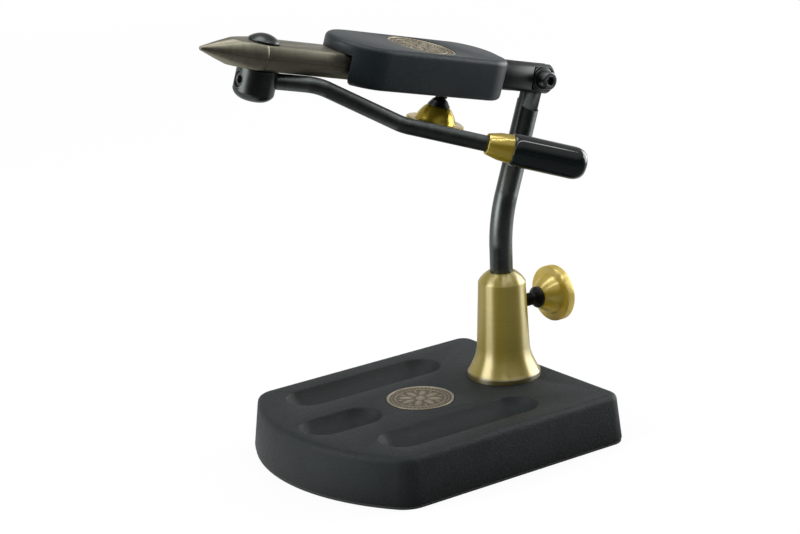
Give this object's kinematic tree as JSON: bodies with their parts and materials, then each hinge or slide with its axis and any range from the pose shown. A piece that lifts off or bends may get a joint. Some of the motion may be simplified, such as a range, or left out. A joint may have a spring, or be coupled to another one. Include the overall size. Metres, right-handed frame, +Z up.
{
  "type": "fly tying vise",
  "caption": "Rotary fly tying vise on a heavy pocket base: cranked stem in a brass post, tilting head with hook jaws, cam lever and thumb knobs",
  "frame": {"origin": "on the post's axis, at the underside of the base pad, where the vise stands on the bench", "axes": "+X the way the jaws point seen from above, +Z up, +Y to the vise's left; the post's axis is x = 0, y = 0"},
  "size_m": [0.1693, 0.1151, 0.1821],
  "materials": {
    "base_coat": "black powder coat",
    "pad": "matte",
    "medallion": "aged bronze, raised relief",
    "satin_brass": "satin, lightly brushed",
    "dark_steel": "blackened",
    "black_screw": "black oxide",
    "zinc_steel": "zinc plated",
    "glide": "plain",
    "jaw_steel": "ground tool steel",
    "grip": "glossy dip"
  },
  "bodies": {
    "base": {"base_casting": "base_coat", "base_pad": "pad", "base_medallion": "medallion", "post": "satin_brass", "post_bolt": "zinc_steel", "post_bolt_washer": "zinc_steel"},
    "glide": {"stem_foot": "glide"},
    "stem": {"stem": "dark_steel"},
    "arm": {"pivot_arm": "dark_steel", "tilt_screw": "black_screw", "spring_washer": "black_screw", "flat_washer": "black_screw"},
    "head": {"head_housing": "base_coat", "head_medallion": "medallion", "jaw_pin": "zinc_steel"},
    "upper_jaw": {"upper_jaw": "jaw_steel"},
    "lower_jaw": {"lower_jaw": "jaw_steel"},
    "lever": {"cam_pin": "dark_steel", "cam_button": "dark_steel", "lever_collar": "dark_steel", "set_screw": "black_screw", "lever_rod": "dark_steel", "lever_ferrule": "satin_brass", "lever_grip": "grip"},
    "head_plug": {"head_plug": "satin_brass"},
    "head_knob": {"head_stud": "black_screw", "head_knob": "satin_brass"},
    "post_plug": {"post_plug": "satin_brass"},
    "post_knob": {"post_stud": "black_screw", "post_knob": "satin_brass"}
  },
  "joints": [
    {"name": "stem_height", "type": "slide", "parent": "base", "child": "glide", "axis": [0, 0, 1], "range_m": [-0.008, 0.009]},
    {"name": "stem_swivel", "type": "hinge", "parent": "glide", "child": "stem", "pos_m": [0, 0, 0.05], "axis": [0, 0, 1], "continuous": true},
    {"name": "head_tilt", "type": "hinge", "parent": "stem", "child": "arm", "pos_m": [-0.01975, 0, 0.14389], "axis": [0, 1, 0], "range_deg": [-90, 22]},
    {"name": "head_rotary", "type": "hinge", "parent": "arm", "child": "head", "pos_m": [0.01917, 0, 0.15309], "axis": [0.9732, 0, 0.23], "continuous": true},
    {"name": "lever_turn", "type": "hinge", "parent": "head", "child": "lever", "pos_m": [0.11221, 0, 0.17508], "axis": [-0.2283, 0.1219, 0.9659], "range_deg": [-110, 0]},
    {"name": "upper_jaw_open", "type": "hinge", "parent": "head", "child": "upper_jaw", "pos_m": [0.06433, -0.00021, 0.16203], "axis": [-0.028, -0.9925, 0.1186], "range_deg": [0, 0.35]},
    {"name": "lower_jaw_open", "type": "hinge", "parent": "head", "child": "lower_jaw", "pos_m": [0.06433, -0.00021, 0.16203], "axis": [0.028, 0.9925, -0.1186], "range_deg": [0, 0.35]},
    {"name": "head_clamp_travel", "type": "slide", "parent": "head", "child": "head_plug", "axis": [0.2283, -0.1219, -0.9659], "range_m": [0, 0.0023]},
    {"name": "head_clamp_turn", "type": "hinge", "parent": "head_plug", "child": "head_knob", "pos_m": [0.02844, -0.00183, 0.13998], "axis": [0.2283, -0.1219, -0.9659], "range_deg": [0, 720]},
    {"name": "post_clamp_travel", "type": "slide", "parent": "base", "child": "post_plug", "axis": [-1, 0, 0], "range_m": [0, 0.0023]},
    {"name": "post_clamp_turn", "type": "hinge", "parent": "post_plug", "child": "post_knob", "pos_m": [-0.02, 0, 0.05], "axis": [-1, 0, 0], "range_deg": [0, 720]}
  ],
  "couplings": [
    {"joint": "upper_jaw_open", "follows": "lever_turn", "ratio": -0.0031504},
    {"joint": "lower_jaw_open", "follows": "lever_turn", "ratio": -0.0031504},
    {"joint": "head_clamp_travel", "follows": "head_clamp_turn", "m_per_rad": 0.00015915},
    {"joint": "post_clamp_travel", "follows": "post_clamp_turn", "m_per_rad": 0.00015915}
  ]
}
